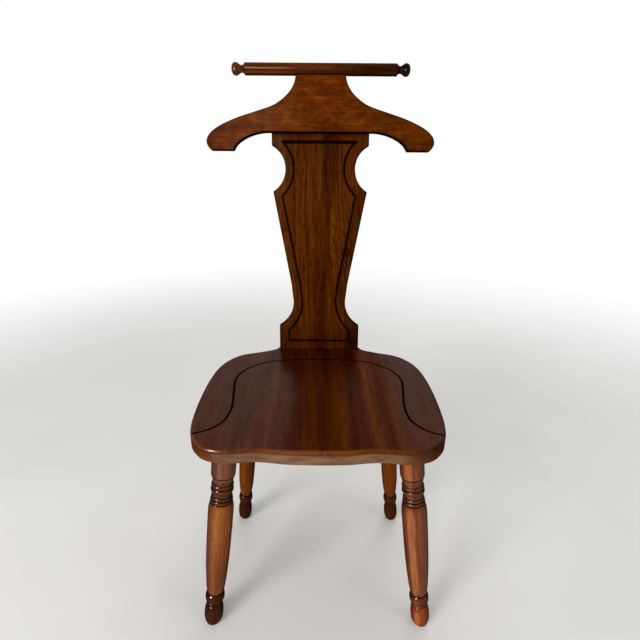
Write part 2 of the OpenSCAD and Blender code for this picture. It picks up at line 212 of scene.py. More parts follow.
class Looks:
    """Named values. A subclass lists them with their defaults."""

    def __init__(self, **values):
        for name, value in values.items():
            assert hasattr(type(self), name), name
            setattr(self, name, value)


class Wood(Looks):
    """One kind of stained and lacquered wood. Shares go from 0 for none to 1."""

    # The grain's colours, and the width of a growth ring
    dark = mid = light = None
    ring_gap = None
    # How far rings, broad stripes, fibres and cross figure swing the grain's tone
    rings = 0.7
    stripes = 0.6
    fibres = 0.7
    figure = 0.0
    # Shares of long streaks, of short dark flecks and of fine pores
    streaks = 0.0
    flecks = 0.35
    pores = 0.5
    # Stain on the edges, in patches or unbroken, and stain with painted shade in crevices and
    # near other parts
    edge = srgb(36, 12, 2)
    edge_share = 0.6
    edge_width = 3 * MM
    edge_patches = True
    crevice = 0.8
    # The bare wood's roughness, and the lacquer's strength and roughness
    roughness = 0.45
    coat = 0.3
    coat_roughness = 0.16


OUTLINED = dict(edge=srgb(20, 8, 2), edge_share=0.9, edge_patches=False)
BACK = Wood(dark=srgb(52, 21, 1), mid=srgb(85, 39, 3), light=srgb(116, 62, 9),
            ring_gap=2.2 * MM, flecks=0.6, pores=0.6, crevice=0.5, edge_width=6 * MM,
            coat=0.06, **OUTLINED)
HANGER = Wood(dark=srgb(70, 29, 2), mid=srgb(98, 44, 3), light=srgb(126, 66, 9),
              ring_gap=5.0 * MM, rings=0.5, figure=1.0, flecks=0.22, edge_width=8 * MM,
              coat=0.07, **OUTLINED)
BAR = Wood(dark=srgb(56, 23, 2), mid=srgb(90, 43, 8), light=srgb(122, 66, 16),
           ring_gap=2.6 * MM, coat=1.0, coat_roughness=0.10)
KNOB = Wood(dark=srgb(58, 25, 6), mid=srgb(96, 50, 20), light=srgb(128, 76, 36),
            ring_gap=2.6 * MM, coat=0.18, coat_roughness=0.12)
# The right finial's wood is a darker copy of the left one's: painted shade
SHADED_KNOB = Wood(dark=srgb(18, 8, 4), mid=srgb(34, 15, 7), light=srgb(52, 26, 13),
                 ring_gap=2.6 * MM, coat=0.10, coat_roughness=0.10)
SEAT = Wood(dark=srgb(44, 15, 1), mid=srgb(67, 28, 3), light=srgb(96, 46, 7),
            ring_gap=6.0 * MM, rings=0.45, stripes=0.5, fibres=0.6, streaks=0.5,
            flecks=0.3, crevice=0.4, coat=0.27, coat_roughness=0.24)
LEG_GRAIN = dict(ring_gap=3.0 * MM, flecks=0.2, edge_share=0.0)
BROWN_LEG = Wood(dark=srgb(104, 50, 9), mid=srgb(141, 78, 24), light=srgb(170, 106, 44),
                 coat=0.42, coat_roughness=0.12, **LEG_GRAIN)
RED_LEG = Wood(dark=srgb(94, 41, 9), mid=srgb(127, 65, 24), light=srgb(156, 90, 41),
               coat=0.5, coat_roughness=0.12, **LEG_GRAIN)
REAR_LEG_WOOD = Wood(dark=srgb(80, 35, 2), mid=srgb(116, 56, 5), light=srgb(142, 76, 12),
                     coat=0.12, **LEG_GRAIN)
PALE = Wood(dark=srgb(150, 112, 70), mid=srgb(186, 148, 100), light=srgb(206, 172, 124),
            ring_gap=2.5 * MM, pores=0.3, edge_share=0.1, crevice=0.3,
            roughness=0.7, coat=0.05)

# How far each step of a piece's seed moves its noises and its rings, in metres
SEED_SHIFT = (0.21, 0.17, 0.37)
RING_SEED_SHIFT = 0.61
# Width of the fibres' slow wander from side to side
SWAY_WIDTH = 16 * MM
# How far the pith goes sideways in each metre of the board's length
PITH_TILT = 0.045
REDDER = (0.86, 0.74, 0.9)
PALE_STREAK = (1.45, 1.75, 1.3)
DARK_STREAK = (0.80, 0.60, 0.8)
# How much of the grain's darkest colour is left in a pore
PORE_SHADE = 0.25

# How far into a crevice its stain and painted shade are felt, and the rays that look for it
# and for edges
CREVICE_REACH = 7 * MM
CREVICE_STAIN_AND_SHADE = srgb(22, 8, 3)
EDGE_RAYS = 6

# How far the cloudy lacquer takes the wood's roughness down and up, and what pores
# and the cut line add to it
SMOOTHER = 0.07
ROUGHER = 0.09
PORE_ROUGHNESS = 0.12
CUT_ROUGHNESS = 0.2
CUT_STAIN = srgb(14, 6, 3)
# Share of the lacquer left in its clouds and at a grazing view, and its least
# strength where it lies thick
CLOUD_COAT = 0.8
GRAZING_COAT = 0.08
THICK_COAT = 0.3
# Relief of the bare wood, as shares of the bump's depth
FIBRE_HEIGHT = 0.35
PORE_HEIGHT = -0.5


def cells(across, along):
    """Noise cells per metre, across a grain that runs in Z and along it."""
    return (across, across, along)


def seat_cells(across, along):
    """The same for the seat in the frame, where its grain runs in Y."""
    return (across, along, across)


def grain_colour(g, kind, along, shifted, pith, seed):
    """The grain's colour, and its fibres and pores as 0-1 values."""
    sway = g.noise(shifted, cells(14, 3.2), output="Color")
    sway = g.vector("MULTIPLY", g.vector("SUBTRACT", sway, (0.5, 0.5, 0.5)),
                    (SWAY_WIDTH, SWAY_WIDTH, SWAY_WIDTH))
    bent = g.vector("ADD", shifted, sway)

    # Growth rings round a slightly tilted pith
    x, y, z = g.split(g.vector("ADD", along, sway))
    pith_x = g.plus(g.minus(x, pith[0]), g.times(z, PITH_TILT))
    pith_y = g.minus(y, pith[1])
    radius = g.math("SQRT", g.plus(g.math("POWER", pith_x, 2.0),
                                   g.math("POWER", pith_y, 2.0)))
    rings = g.node("ShaderNodeTexNoise", {
        "W": g.plus(radius, RING_SEED_SHIFT * seed), "Scale": 1 / kind.ring_gap,
        "Detail": 3.0, "Roughness": 0.62}, noise_dimensions="1D").outputs["Fac"]

    # Broad stripes, fine fibres, short dark pores and a soft cross figure
    stripes = g.noise(bent, cells(52, 3.4), detail=3.0, rough=0.55)
    fibres = g.noise(bent, cells(420, 11), detail=3.0, rough=0.6)
    pores = g.between(g.noise(bent, cells(1300, 60), detail=1.0), 0.56, 0.70)
    figure = g.noise(bent, cells(60, 42), distort=0.6)
    tone = 0.5
    for noise, width in ((rings, kind.rings), (stripes, kind.stripes),
                         (fibres, kind.fibres), (figure, kind.figure)):
        tone = g.plus(tone, g.swing(noise, width))
    colour = g.ramp(tone, [(0.12, kind.dark), (0.50, kind.mid), (0.90, kind.light)])

    warm = g.noise(bent, cells(30, 6))
    colour = g.tinted(colour, g.between(warm, 0.35, 0.65), 0.8, REDDER)
    if kind.streaks:
        streaks = g.noise(bent, cells(30, 1.5))
        colour = g.tinted(colour, g.between(streaks, 0.50, 0.66), kind.streaks,
                          PALE_STREAK)
        colour = g.tinted(colour, g.between(streaks, 0.48, 0.34), kind.streaks,
                          DARK_STREAK)
    flecks = g.between(g.noise(bent, cells(330, 42)), 0.52, 0.68)
    pore_colour = tuple(PORE_SHADE * c for c in kind.dark[:3]) + (1.0,)
    colour = g.mix(g.times(flecks, kind.flecks), colour, pore_colour)
    colour = g.mix(g.times(pores, kind.pores), colour, pore_colour)
    return colour, fibres, pores


def edge_stain_and_crevice_shade(g, kind, shifted, colour):
    """Stain on edges, and darkening by occlusion in crevices and near other parts, which is
    stain and painted shade.
    """
    # Occlusion darkens hollows and places near other parts and the floor: painted shade
    near = g.node("ShaderNodeAmbientOcclusion", {"Distance": CREVICE_REACH},
                  samples=EDGE_RAYS)
    crevice = g.between(near.outputs["AO"], 0.82, 0.30)
    colour = g.mix(g.times(crevice, kind.crevice), colour, CREVICE_STAIN_AND_SHADE)
    if kind.edge_share:
        soft = g.node("ShaderNodeBevel", {"Radius": kind.edge_width}, samples=EDGE_RAYS)
        turn = g.vector("DOT_PRODUCT", soft.outputs[0], g.normal("True Normal"))
        edge = g.between(turn, 0.985, 0.86, 0.0, kind.edge_share)
        if kind.edge_patches:
            patches = g.noise(shifted, 38.0, detail=3.0, rough=0.6)
            edge = g.times(edge, g.between(patches, 0.30, 0.62))
        colour = g.mix(edge, colour, kind.edge)
    return colour


def wood(name, kind, origin, axis, seed, pith=(0.03, -0.09), groove=None, extra=None,
         wear=None, thick=None):
    """A lacquered wood with its grain along axis.

    pith is where the growth rings centre, across the grain from origin.
    groove(g, place) gives a 0-1 mask of the black cut line, and
    extra(g, place, along, colour) adds what only one piece shows. wear(g) is 1
    where the lacquer is rubbed off and thick(g) where it lies thick.
    """
    material, g = new_material(name)
    place = g.place()
    # The same in metres from origin with Z along the grain, and moved on by the seed
    turn = Vector(axis).rotation_difference(Vector((0, 0, 1))).to_euler()
    along = g.node("ShaderNodeMapping", {
        "Vector": g.vector("SUBTRACT", place, origin), "Rotation": turn}).outputs[0]
    shifted = g.vector("ADD", along, tuple(shift * seed for shift in SEED_SHIFT))

    colour, fibres, pores = grain_colour(g, kind, along, shifted, pith, seed)
    colour = edge_stain_and_crevice_shade(g, kind, shifted, colour)
    if extra:
        colour = extra(g, place, along, colour)

    # Lacquer, cloudy from years of hands; all of the gloss comes from it
    clouds = g.noise(shifted, 22.0, detail=4.0, rough=0.6)
    rough = g.between(clouds, 0.30, 0.70, kind.roughness - SMOOTHER,
                      kind.roughness + ROUGHER)
    rough = g.plus(rough, g.times(pores, PORE_ROUGHNESS))
    gloss = g.between(clouds, 0.25, 0.75, kind.coat, CLOUD_COAT * kind.coat)
    grazing = g.node("ShaderNodeLayerWeight", {"Blend": 0.5}).outputs["Facing"]
    gloss = g.times(gloss, g.between(grazing, 0.58, 0.85, 1.0, GRAZING_COAT))
    if wear:
        gloss = g.times(gloss, g.minus(1.0, wear(g)))
    if thick:
        gloss = g.larger(gloss, g.times(thick(g), THICK_COAT))
    if groove:
        line = groove(g, place)
        colour = g.mix(line, colour, CUT_STAIN)
        rough = g.plus(rough, g.times(line, CUT_ROUGHNESS))
        gloss = g.times(gloss, g.minus(1.0, line))

    height = g.plus(g.times(fibres, FIBRE_HEIGHT), g.times(pores, PORE_HEIGHT))
    bump = g.node("ShaderNodeBump", {"Height": height, "Strength": 0.35,
                                     "Distance": 0.12 * MM})
    waves = g.noise(shifted, 9.0)
    coat_bump = g.node("ShaderNodeBump", {"Height": waves, "Strength": 0.25,
                                          "Distance": 1.2 * MM})
    shader = g.node("ShaderNodeBsdfPrincipled", {
        "Base Color": colour, "Roughness": rough, "IOR": 1.46,
        "Specular IOR Level": 0.0, "Normal": bump.outputs[0],
        "Coat Weight": gloss, "Coat Roughness": kind.coat_roughness, "Coat IOR": 1.5,
        "Coat Normal": coat_bump.outputs[0]})
    g.node("ShaderNodeOutputMaterial", {"Surface": shader.outputs[0]})
    return material


# ---------- the slab and the hanger board ----------

RIM_STAIN = srgb(16, 6, 2)
MIDDLE_TINT = (0.68, 0.60, 0.5)
LESS_RED = (0.66, 0.76, 1.0)
SLAB_TOP_TINT = (0.70, 0.72, 0.9)
SLAB_BAND_TINT = (0.56, 0.52, 0.6)
SLAB_STRIP_TINT = (0.58, 0.56, 0.5)
SLAB_FOOT_TINT = (0.26, 0.20, 0.4)
FLAME_GROUND_TINT = (1.40, 1.55, 1.9)
FLAME_TILT = math.radians(28)


def rim_wear(g):
    """1 on the cut edges of the slab and the hanger board, 0 on their faces."""
    face = g.size(g.vector("DOT_PRODUCT", g.normal(), SLAB_BACK))
    return g.between(face, 0.995, 0.90)


def dark_rim(g, colour):
    """The cut edges took more stain than the faces."""
    return g.mix(g.times(rim_wear(g), 0.95), colour, RIM_STAIN)


def hanger_marks(g, place, along, colour):
    """Short dark dashes, a patchy darker middle, tips painted redder as a reflection, and a
    duller right arm.
    """
    x, _, _ = g.split(place)
    off = g.size(x)
    dashes = g.noise(along, cells(360, 70))
    colour = g.tinted(colour, g.between(dashes, 0.58, 0.66), 0.4)
    patches = g.noise(along, cells(22, 12))
    middle = g.times(g.between(off, 100 * MM, 40 * MM), g.between(patches, 0.42, 0.6))
    colour = g.tinted(colour, middle, 0.5, MIDDLE_TINT)
    # The redder tips are a painted reflection
    tips = g.between(off, 160 * MM, 235 * MM)
    colour = g.tinted(colour, tips, 0.8, REDDER)
    right_arm = g.between(x, 50 * MM, 150 * MM)
    colour = g.tinted(colour, right_arm, 0.6, LESS_RED)
    return dark_rim(g, colour)


def slab_marks(g, place, along, colour):
    """A darker band down the slab's middle, flame flecks beside it, a darker strip
    past the line's right side, and a dark foot."""
    x, _, _ = g.split(place)
    _, _, up = g.split(along)
    upper = g.between(up, 350 * MM, 460 * MM)
    colour = g.tinted(colour, upper, 0.5, SLAB_TOP_TINT)

    # The band wanders to the right towards the top
    centre = g.between(up, 240 * MM, 440 * MM, 3 * MM, 24 * MM)
    wander = g.noise(along, cells(40, 9), detail=3.0, rough=0.6)
    off = g.plus(g.size(g.minus(x, centre)), g.swing(wander, 30 * MM))
    band = g.between(off, 26 * MM, 8 * MM)
    colour = g.tinted(colour, band, 0.85, SLAB_BAND_TINT)

    beside = g.times(g.between(x, 12 * MM, 30 * MM), g.between(up, 140 * MM, 200 * MM),
                     g.between(up, 340 * MM, 270 * MM))
    colour = g.tinted(colour, beside, 0.7, FLAME_GROUND_TINT)
    tilted = g.node("ShaderNodeMapping", {"Vector": along,
                                          "Rotation": (0, FLAME_TILT, 0)})
    flames = g.noise(tilted.outputs[0], cells(230, 26))
    colour = g.tinted(colour, g.times(beside, g.between(flames, 0.52, 0.60)), 0.75)

    line_x = g.plus(g.times(g.size(g.minus(up, LINE_WAIST_UP)), LINE_SPREAD),
                    LINE_WAIST_X)
    strip = g.between(g.minus(x, line_x), -3 * MM, 4 * MM)
    colour = g.tinted(colour, strip, 0.75, SLAB_STRIP_TINT)
    foot = g.times(g.between(up, 75 * MM, 20 * MM),
                   g.between(x, 20 * MM, 85 * MM, 0.45, 1.0))
    colour = g.tinted(colour, foot, 0.9, SLAB_FOOT_TINT)
    return dark_rim(g, colour)


# ---------- the bar ----------

BAR_END_SHADE = (0.20, 0.17, 0.2)
BAR_REFLECTION_TINT = (1.9, 2.4, 3.4)
# How far the bar's surface looks down at its painted reflection line: 0 is level, -1 down
BAR_REFLECTION_NZ = -0.60
# Share of the lacquer that is worn off all but the spared band
BAR_WEAR = 0.92


def bar_marks(g, place, along, colour):
    """Painted shade deepening towards the bar's right end and downwards, and a paler painted
    reflection line low on its front."""
    x, _, _ = g.split(place)
    _, ny, nz = g.split(g.normal())
    # Painted shade towards the right end
    right_end = g.between(x, -70 * MM, 100 * MM)
    colour = g.tinted(colour, right_end, 0.85, BAR_END_SHADE)
    shade = g.times(g.between(nz, -0.16, -0.32), g.between(x, -120 * MM, -40 * MM))
    colour = g.tinted(colour, shade, 0.6)
    # A paler line painted as a reflection
    rubbed = g.times(g.between(g.size(g.minus(nz, BAR_REFLECTION_NZ)), 0.15, 0.06),
                     g.below(ny, 0.0))
    colour = g.tinted(colour, rubbed, 0.9, BAR_REFLECTION_TINT)
    # Painted shade on the underside
    underside = g.between(nz, -0.74, -0.88)
    return g.tinted(colour, underside, 0.85)


def bar_wear(g):
    """The wear of the bar's lacquer, which spares a band halfway up its left half."""
    x, _, _ = g.split(g.place())
    _, _, nz = g.split(g.normal())
    spared = g.times(g.between(nz, -0.20, -0.08), g.between(nz, 0.50, 0.36),
                     g.between(x, 50 * MM, -30 * MM))
    return g.minus(BAR_WEAR, g.times(spared, BAR_WEAR))


# ---------- the seat ----------

# Streaks along the seat's grain: x and half width in mm, and how much lighter
# (above 0) or darker (below 0) the wood is there
SEAT_STREAKS = [(-140, 12, -0.5), (-112, 9, 0.5), (-86, 15, 1.0), (-54, 15, -0.9),
                (-27, 8, 0.4), (14, 18, -0.9), (42, 12, 0.7), (64, 12, -0.8),
                (106, 17, 0.7), (136, 10, -0.5)]
# Share of a streak's half width that has its full tint
STREAK_CORE = 0.15
SEAT_PALE_STREAK = (1.50, 1.62, 1.3)
SEAT_DARK_STREAK = (0.66, 0.50, 0.6)
SLAB_SHADOW_TINT = (0.55, 0.36, 0.6)
RUBBED_ORANGE = srgb(112, 58, 10)
NICK = srgb(178, 132, 78)
WALL_UPPER = srgb(94, 46, 12)
WALL_LOWER = srgb(108, 60, 22)
WALL_CORNER_SHADE = (0.50, 0.45, 0.4)
WALL_RIGHT_SHADE = (0.45, 0.40, 0.4)
GLARE_DARK = srgb(100, 70, 51)
GLARE_MID = srgb(126, 94, 70)
GLARE_LIGHT = srgb(142, 110, 86)
GLARE_END_TINT = (0.62, 0.60, 0.62)


def round_over(g):
    """1 on the rounded upper edge of the seat."""
    _, _, nz = g.split(g.normal("True Normal"))
    return g.times(g.between(nz, 0.998, 0.93), g.between(nz, -0.05, 0.3))


def front_side(g):
    """1 where the seat's edge looks to the front, 0 where it looks back."""
    _, ny, _ = g.split(g.normal("True Normal"))
    return g.between(ny, 0.25, -0.55)


def thick_corner(g):
    """1 on the round-over of the seat's left front corner, where lacquer gathered."""
    x, y, _ = g.split(g.place())
    return g.times(round_over(g), g.between(x, -110 * MM, -140 * MM),
                   g.between(y, SEAT_FRONT + 120 * MM, SEAT_FRONT + 60 * MM))


def seat_wear(g):
    """The lacquer's wear right of the seat's middle, on its side and rear edges and
    on all walls but the front one."""
    x, y, _ = g.split(g.place())
    _, ny, nz = g.split(g.normal("True Normal"))
    middle = g.times(g.between(x, 0.0, 40 * MM), g.between(x, 170 * MM, 120 * MM), 0.7)
    edges = g.times(round_over(g),
                    g.between(y, SEAT_FRONT + 60 * MM, SEAT_FRONT + 120 * MM))
    walls = g.times(g.between(g.size(nz), 0.35, 0.15), g.between(ny, -0.97, -0.85), 0.9)
    return g.larger(g.larger(middle, edges), walls)


def seat_streaks(g, place, colour):
    """Long lighter and darker streaks that sway and come and go."""
    x, _, _ = g.split(place)
    wander = g.noise(place, seat_cells(24, 3.5), detail=3.0, rough=0.6)
    swayed = g.plus(x, g.swing(wander, 50 * MM))
    length = g.noise(place, seat_cells(26, 5.0), detail=1.0)
    strength = g.between(length, 0.30, 0.55, 0.35, 1.0)
    for centre, half, lift in SEAT_STREAKS:
        off = g.size(g.minus(swayed, centre * MM))
        mask = g.times(g.between(off, half * MM, STREAK_CORE * half * MM), strength)
        tint = SEAT_PALE_STREAK if lift > 0 else SEAT_DARK_STREAK
        colour = g.tinted(colour, mask, 0.85 * abs(lift), tint)
    return colour


def seat_painted_shade(g, place, colour):
    """Painted shade on the right of the round-over, and the slab's painted shadow and
    reflection on the seat before it.
    """
    x, y, _ = g.split(place)
    # Painted shade on the right of the round-over
    right_edge = g.times(round_over(g), g.between(x, 140 * MM, 210 * MM))
    colour = g.tinted(colour, right_edge, 0.8)
    # The slab's shadow and dark reflection, painted
    rear = g.times(g.between(y, SEAT_FRONT + 200 * MM, SEAT_FRONT + 340 * MM),
                   g.between(g.size(x), 130 * MM, 60 * MM))
    return g.tinted(colour, rear, 0.6, SLAB_SHADOW_TINT)


def seat_rub(g, place, along, colour):
    """The round-over rubbed orange, most at the middle of the front, with nicks."""
    x, _, _ = g.split(place)
    patches = g.noise(along, 30.0, detail=4.0, rough=0.6)
    rub = g.times(round_over(g),
                  g.between(patches, 0.30, 0.55, 0.45, 1.0),
                  g.between(front_side(g), 0.0, 1.0, 0.3, 1.0),
                  g.between(g.size(x), 45 * MM, 100 * MM, 1.0, 0.45),
                  g.between(x, 190 * MM, 140 * MM))
    colour = g.mix(rub, colour, RUBBED_ORANGE)
    nicks = g.between(g.noise(place, 240.0), 0.66, 0.72)
    return g.mix(g.times(nicks, rub, 0.8), colour, NICK)


def seat_walls(g, place, colour):
    """Browner front walls, painted shade at the corners and on the right, and a paler painted
    reflection on the front wall between the front corners."""
    x, _, z = g.split(place)
    _, ny, nz = g.split(g.normal("True Normal"))
    off = g.size(x)
    down = g.minus(SEAT_TOP, z)
    wall = g.times(g.between(g.size(nz), 0.3, 0.1), g.between(down, 5 * MM, 9 * MM))
    brown = g.mix(g.between(down, 10 * MM, 20 * MM), WALL_UPPER, WALL_LOWER)
    colour = g.mix(g.times(wall, front_side(g), 0.8), colour, brown)
    # Painted shade where the walls turn away from the front
    corners = g.times(wall, g.between(ny, -0.85, -0.50))
    colour = g.tinted(colour, corners, 0.9, WALL_CORNER_SHADE)
    # Painted shade on the right
    right_end = g.times(wall, g.between(x, 120 * MM, 190 * MM))
    colour = g.tinted(colour, right_end, 0.7, WALL_RIGHT_SHADE)

    # A paler painted reflection on the front wall
    glare = g.times(wall, g.between(ny, -0.55, -0.85), g.between(off, 176 * MM, 160 * MM),
                   g.between(x, 168 * MM, 125 * MM))
    smear = g.noise(place, (26, 26, 160), detail=3.0, rough=0.6)
    pale = g.ramp(smear, [(0.30, GLARE_DARK), (0.52, GLARE_MID), (0.75, GLARE_LIGHT)])
    ends = g.between(off, 60 * MM, 150 * MM)
    pale = g.tinted(pale, ends, 0.6, GLARE_END_TINT)
    return g.mix(g.times(glare, 0.85), colour, pale)


def seat_marks(g, place, along, colour):
    """All that the seat shows on top of its grain."""
    colour = seat_streaks(g, place, colour)
    colour = seat_painted_shade(g, place, colour)
    colour = seat_rub(g, place, along, colour)
    return seat_walls(g, place, colour)


# ---------- the legs ----------

class Leg(Looks):
    """One leg's place, wood, stain, wear and painted light and shade. Shares go from 0 for
    none to 1.
    """

    # Its node, axis, side and wood, and the valleys of its foot
    name = axis = side = kind = foot_lines = None
    # Colours of the foot with its ring, of the collar above it and of the beads
    foot = collar = bead = None
    # How dark the uppermost valley is, how much painted seat shadow darkens the leg above it,
    # and how much painted haze greys it
    top_line = 0.8
    top_shade = 0.0
    painted_haze = 0.0
    # How much darker the shaft gets towards the foot
    low_shade = 0.0
    # The side with the deepest painted shade
    shaded_side = RIGHT
    shaded_share = 0.3
    # The painted highlight stripe, in degrees to the right of the front
    highlight_angle = -10
    highlight_share = 0.2


REAR_BEAD = srgb(84, 38, 12)
LEGS = [
    Leg(name="front_leg_left", axis=FRONT_LEG, side=LEFT, kind=BROWN_LEG,
        foot_lines=FRONT_FOOT_LINES, foot=srgb(54, 20, 5), collar=srgb(54, 20, 5),
        bead=srgb(58, 24, 10), top_line=0.97, top_shade=0.85, painted_haze=0.45, low_shade=0.7,
        shaded_side=LEFT, shaded_share=0.8, highlight_angle=-16, highlight_share=0.35),
    # Its paler foot is painted sunlight, and its full-strength stripe a painted highlight
    Leg(name="front_leg_right", axis=FRONT_LEG, side=RIGHT, kind=RED_LEG,
        foot_lines=FRONT_FOOT_LINES, foot=srgb(138, 66, 26), collar=srgb(88, 40, 20),
        bead=srgb(80, 35, 18), top_line=0.7, low_shade=0.1, shaded_share=0.8,
        highlight_angle=-26, highlight_share=1.0),
    Leg(name="rear_leg_left", axis=REAR_LEG, side=LEFT, kind=REAR_LEG_WOOD,
        foot_lines=REAR_FOOT_LINES, foot=srgb(46, 18, 6), collar=srgb(46, 18, 6),
        bead=REAR_BEAD, top_shade=0.1),
    Leg(name="rear_leg_right", axis=REAR_LEG, side=RIGHT, kind=REAR_LEG_WOOD,
        foot_lines=REAR_FOOT_LINES, foot=srgb(50, 22, 6), collar=srgb(50, 22, 6),
        bead=REAR_BEAD, top_shade=0.35)]

LEG_SEAT_SHADOW_TINT = (0.45, 0.42, 0.7)
LEG_LOW_TINT = (0.55, 0.42, 0.4)
LEG_SIDE_SHADE_TINT = (0.38, 0.29, 0.22)
LEG_SHADED_SIDE_TINT = (0.40, 0.31, 0.2)
LEG_HIGHLIGHT_TINT = (2.0, 2.6, 4.4)
HAZE_GREY = srgb(116, 80, 58)
# Stain and painted shade in the valleys: how deep it is, what is left of that where it has
# been worn, and how far from a valley's middle it ends and is full
VALLEY_STAIN_AND_SHADE = srgb(20, 8, 4)
VALLEY_SHARE = 0.8
WORN_SHARE = 0.6
VALLEY_REACH = 2.2 * MM
VALLEY_CORE = 0.7 * MM


def leg_wear(g):
    """The wear of a leg's lacquer, which is more at its sides and on its foot."""
    _, ny, _ = g.split(g.normal())
    _, _, z = g.split(g.place())
    sides = g.between(g.size(ny), 0.78, 0.45, 0.0, 0.75)
    foot = g.between(z, 67 * MM, 62 * MM, 0.0, 0.6)
    return g.larger(sides, foot)


def leg_marks(leg):
    """Foot, collar and beads of other colours, painted shade on the sides and under the seat,
    painted haze, a painted highlight stripe, and stain and painted shade in the valleys of a
    turned leg."""
    _, collar_low, collar_high = leg.foot_lines
    beads_low = BEAD_LINES[0]
    beads_high = BEAD_LINES[-1]
    highlight_angle = math.radians(leg.highlight_angle)
    highlight_towards = (math.sin(highlight_angle), -math.cos(highlight_angle), 0)

    def extra(g, place, along, colour):
        _, _, z = g.split(along)
        normal = g.normal()
        nx, ny, _ = g.split(normal)
        lowest = g.between(z, collar_high + 9 * MM, collar_high - 2 * MM)
        collar = g.between(z, collar_low - MM, collar_low + MM)
        colour = g.mix(g.times(lowest, 0.85), colour,
                       g.mix(collar, leg.foot, leg.collar))
        beads = g.times(g.between(z, beads_low - 3 * MM, beads_low + 2 * MM),
                        g.between(z, beads_high + 4 * MM, beads_high - 12 * MM))
        colour = g.mix(g.times(beads, 0.8), colour, leg.bead)
        # Painted shadow of the seat on the leg above the beads
        top = g.between(z, beads_high - MM, beads_high + 3 * MM)
        colour = g.tinted(colour, top, leg.top_shade, LEG_SEAT_SHADOW_TINT)
        low = g.between(z, 220 * MM, 110 * MM)
        colour = g.tinted(colour, low, leg.low_shade, LEG_LOW_TINT)

        # Painted shade on the leg's sides, deepest on its shaded side
        patches = g.noise(along, cells(60, 14), detail=3.0, rough=0.6)
        turned = g.plus(g.size(ny), g.swing(patches, 0.25))
        colour = g.tinted(colour, g.between(turned, 0.82, 0.20), 0.88, LEG_SIDE_SHADE_TINT)
        shaded_side = g.between(g.times(nx, leg.shaded_side), 0.15, 0.65)
        colour = g.tinted(colour, shaded_side, leg.shaded_share, LEG_SHADED_SIDE_TINT)

        # Painted haze of reflected light greys the leg's top
        hazy = g.times(g.between(z, beads_high, beads_high + 3 * MM),
                        g.between(nx, -0.42, -0.30))
        colour = g.mix(g.times(hazy, leg.painted_haze), colour, HAZE_GREY)
        # A painted highlight stripe
        facing = g.vector("DOT_PRODUCT", normal, highlight_towards)
        rubbed = g.times(g.between(facing, 0.92, 0.99),
                         g.between(patches, 0.30, 0.60, 0.5, 1.0))
        colour = g.tinted(colour, rubbed, leg.highlight_share, LEG_HIGHLIGHT_TINT)

        # Stain and painted shade in the valleys of the turnings
        worn = g.noise(place, 90.0, detail=3.0, rough=0.6)
        for height in leg.foot_lines + BEAD_LINES:
            share = leg.top_line if height == beads_high else VALLEY_SHARE
            valley = g.between(g.size(g.minus(z, height)), VALLEY_REACH, VALLEY_CORE)
            stain = g.between(worn, 0.25, 0.6, WORN_SHARE * share, share)
            colour = g.mix(g.times(valley, stain), colour, VALLEY_STAIN_AND_SHADE)
        return colour
    return extra


# ---------- the black cut lines ----------

# How far past the channel's depth a surface still counts as cut, and how deep it
# has to be at least
FLOOR_SLACK = 0.5 * MM
WALL_SLACK = 0.1 * MM
LEAST_SEAT_CUT = 0.7 * MM
LEAST_SLAB_CUT = 0.3 * MM
# A floor looks straight out at least this much, and a wall at most this much
OUTWARD = 0.9
SIDEWARD = 0.08


def seat_groove(g, place):
    """1 on the floor and walls of the channel cut into the seat's top."""
    _, _, z = g.split(place)
    _, _, nz = g.split(g.normal("True Normal"))
    down = g.minus(SEAT_TOP, z)
    floor = g.times(g.above(nz, OUTWARD), g.above(down, LEAST_SEAT_CUT),
                    g.below(down, CHANNEL_DEPTH + FLOOR_SLACK))
    wall = g.times(g.below(g.size(nz), SIDEWARD),
                   g.below(down, CHANNEL_DEPTH + WALL_SLACK))
    return g.larger(floor, wall)


def slab_groove(g, place):
    """1 on the floor of the channel cut into the slab's front, and raggedly along
    its top side."""
    x, _, _ = g.split(place)
    off = g.size(x)
    from_foot = g.vector("SUBTRACT", place, SLAB_FOOT)
    deep = g.vector("DOT_PRODUCT", from_foot, SLAB_BACK)
    up = g.vector("DOT_PRODUCT", from_foot, SLAB_UP)
    shallow = g.below(deep, CHANNEL_DEPTH + WALL_SLACK)
    facing = g.vector("DOT_PRODUCT", g.normal("True Normal"), SLAB_FRONT)
    line = g.times(g.above(deep, LEAST_SLAB_CUT), shallow, g.above(facing, OUTWARD),
                   g.below(off, LINE_HALF))

    # Along its top side the black line is wider and ragged
    torn = g.noise(place, 420.0, rough=0.6)
    from_line = g.plus(g.size(g.minus(up, TOP_LINE_UP)), g.swing(torn, 5 * MM))
    ragged = g.times(g.between(from_line, 4.2 * MM, 2.8 * MM),
                     g.below(off, TOP_LINE_HALF), shallow)
    return g.larger(line, ragged)


# ---------- steel ----------

def steel(name):
    """Grimy, finely scratched screw steel."""
    material, g = new_material(name)
    place = g.place()
    grime = g.noise(place, 260.0, detail=4.0, rough=0.6)
    scratch = g.noise(place, (2600, 300, 300))
    colour = g.ramp(grime, [(0.30, srgb(96, 88, 78)), (0.55, srgb(158, 154, 148)),
                            (0.80, srgb(184, 181, 176))])
    bump = g.node("ShaderNodeBump", {"Height": scratch, "Strength": 0.2,
                                     "Distance": 0.05 * MM})
    shader = g.node("ShaderNodeBsdfPrincipled", {
        "Base Color": colour, "Metallic": 1.0, "Normal": bump.outputs[0],
        "Roughness": g.between(grime, 0.3, 0.7, 0.42, 0.28)})
    g.node("ShaderNodeOutputMaterial", {"Surface": shader.outputs[0]})
    return material


# ---------- softened edges and smooth shading ----------

SHARP_ANGLE = math.radians(36)
WELD_REACH = 0.01 * MM
# Radius of the worn rims of the slab and the hanger board
RIM_RADIUS = 1.8 * MM
RIM_SEGMENTS = 4
